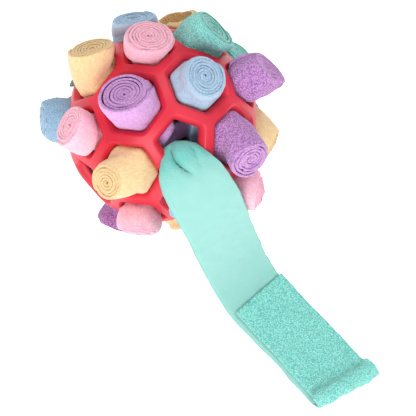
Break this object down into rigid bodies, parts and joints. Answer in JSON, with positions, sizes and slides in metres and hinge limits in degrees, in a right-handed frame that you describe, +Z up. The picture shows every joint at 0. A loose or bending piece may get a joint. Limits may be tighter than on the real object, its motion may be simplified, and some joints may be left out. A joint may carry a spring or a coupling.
{
  "type": "dog snuffle ball",
  "caption": "Hollow openwork rubber ball with rolled fleece strips plugged into its holes and a long strip hanging out of its mouth, for hiding dog treats.",
  "frame": {"origin": "on the ground, at the middle of the bounding box of the ball and its loose strip", "axes": "+Z up, -Y towards the viewer and the end of the loose strip, +X to the viewer's right"},
  "size_m": [0.2118, 0.24, 0.1395],
  "materials": {
    "rubber": "matte",
    "fleece_purple": "nubby fleece, matte",
    "fleece_pink": "nubby fleece, matte",
    "fleece_blue": "nubby fleece, matte",
    "fleece_yellow": "nubby fleece, matte",
    "fleece_mint": "nubby fleece, matte"
  },
  "bodies": {
    "root": {"rubber_ball": "rubber", "strip_purple_1": "fleece_purple", "strip_purple_2": "fleece_purple", "strip_purple_3": "fleece_purple", "strip_blue_1": "fleece_blue", "strip_blue_2": "fleece_blue", "strip_blue_3": "fleece_blue", "strip_pink_1": "fleece_pink", "strip_pink_2": "fleece_pink", "strip_pink_3": "fleece_pink", "strip_yellow_1": "fleece_yellow", "strip_yellow_2": "fleece_yellow", "strip_yellow_3": "fleece_yellow", "strip_yellow_4": "fleece_yellow", "strip_mint_1": "fleece_mint", "strip_mint_2": "fleece_mint", "strip_mint_3": "fleece_mint"}
  },
  "joints": []
}
